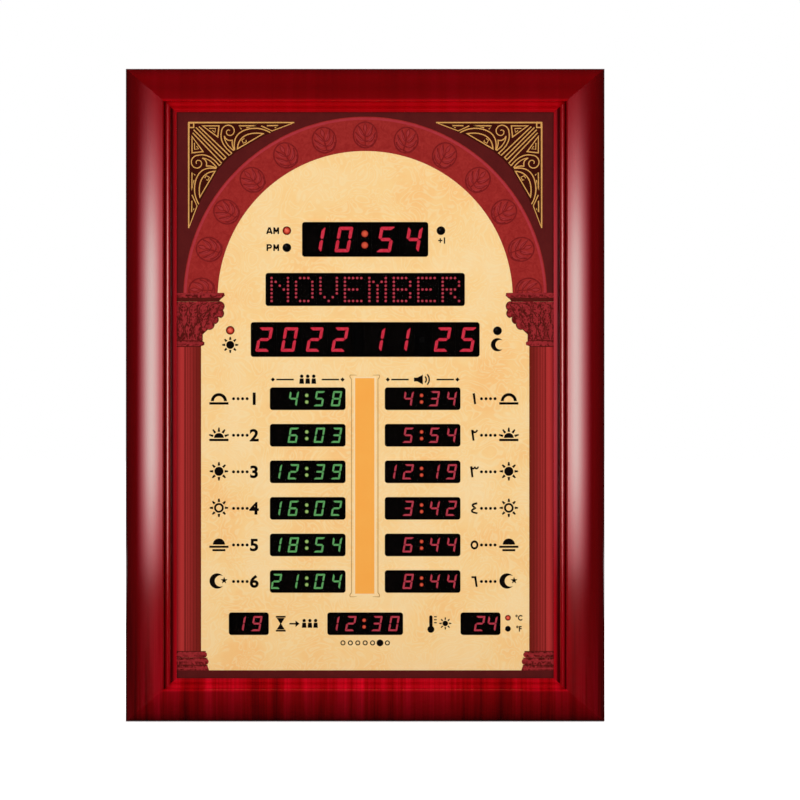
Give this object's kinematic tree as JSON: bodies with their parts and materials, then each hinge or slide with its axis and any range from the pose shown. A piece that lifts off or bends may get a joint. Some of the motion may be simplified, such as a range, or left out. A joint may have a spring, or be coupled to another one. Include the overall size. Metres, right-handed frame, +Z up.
{
  "type": "azan clock",
  "caption": "Wall clock for prayer times: mitred mahogany moulding, printed arch face, smoked windows over LED digits, sliding battery door, folding hanger rings.",
  "frame": {"origin": "middle of the clock's overall box, bumpers included", "axes": "+Z up the face, +Y from the face towards the wall, +X to the viewer's right; the face looks along -Y"},
  "size_m": [0.55, 0.047, 0.75],
  "materials": {
    "mahogany": "deep red stain under gloss lacquer",
    "printed_panel": "printed satin sheet",
    "smoked_acrylic": "smoked clear acrylic",
    "display_body": "black moulded display body",
    "led_resin": "tinted LED resin",
    "black_plastic": "moulded black plastic",
    "grey_plastic": "grey cable jacket",
    "white_nylon": "natural nylon",
    "circuit_board": "green solder mask",
    "cover_plastic": "fine-grained black cover sheet",
    "painted_steel": "black painted steel",
    "steel": "zinc plated steel",
    "rubber": "soft black rubber"
  },
  "bodies": {
    "case": {"frame_top_rail": "mahogany", "frame_bottom_rail": "mahogany", "frame_left_stile": "mahogany", "frame_right_stile": "mahogany", "face_panel": "printed_panel", "panel_spacers": "black_plastic", "time_window": "smoked_acrylic", "month_window": "smoked_acrylic", "date_window": "smoked_acrylic", "eqamah_windows": "smoked_acrylic", "azan_windows": "smoked_acrylic", "lower_windows": "smoked_acrylic", "time_digit_modules": "display_body", "month_matrix_modules": "display_body", "date_digit_modules": "display_body", "eqamah_display_1": "display_body", "eqamah_display_2": "display_body", "eqamah_display_3": "display_body", "eqamah_display_4": "display_body", "eqamah_display_5": "display_body", "eqamah_display_6": "display_body", "azan_display_1": "display_body", "azan_display_2": "display_body", "azan_display_3": "display_body", "azan_display_4": "display_body", "azan_display_5": "display_body", "azan_display_6": "display_body", "countdown_display": "display_body", "friday_display": "display_body", "temperature_display": "display_body", "indicator_leds": "led_resin", "unit_leds": "led_resin", "indicator_holders": "black_plastic", "unit_led_holders": "black_plastic", "display_boards": "circuit_board", "control_board": "circuit_board", "board_supports": "white_nylon", "driver_chips": "black_plastic", "cable_headers": "black_plastic", "ribbon_cables": "grey_plastic", "ir_receiver": "black_plastic", "cell_holder": "black_plastic", "coin_cell": "steel", "speaker_basket": "painted_steel", "speaker_cone": "black_plastic", "speaker_grille": "cover_plastic", "speaker_screws": "steel", "back_cover": "cover_plastic", "cover_screws": "steel", "plug_tray": "black_plastic", "power_jack": "black_plastic", "left_hanger_strap": "steel", "right_hanger_strap": "steel", "hanger_screws": "steel", "wall_bumpers": "rubber"},
    "battery_door": {"battery_door": "cover_plastic"},
    "left_ring": {"left_hanger_ring": "steel"},
    "right_ring": {"right_hanger_ring": "steel"}
  },
  "joints": [
    {"name": "battery_door_slide", "type": "slide", "parent": "case", "child": "battery_door", "axis": [0, 0, 1], "range_m": [0, 0.034]},
    {"name": "left_ring_swing", "type": "hinge", "parent": "case", "child": "left_ring", "pos_m": [-0.254, 0.02113, 0.215], "axis": [-1, 0, 0], "range_deg": [0, 165]},
    {"name": "right_ring_swing", "type": "hinge", "parent": "case", "child": "right_ring", "pos_m": [0.254, 0.02113, 0.215], "axis": [-1, 0, 0], "range_deg": [0, 165]}
  ]
}
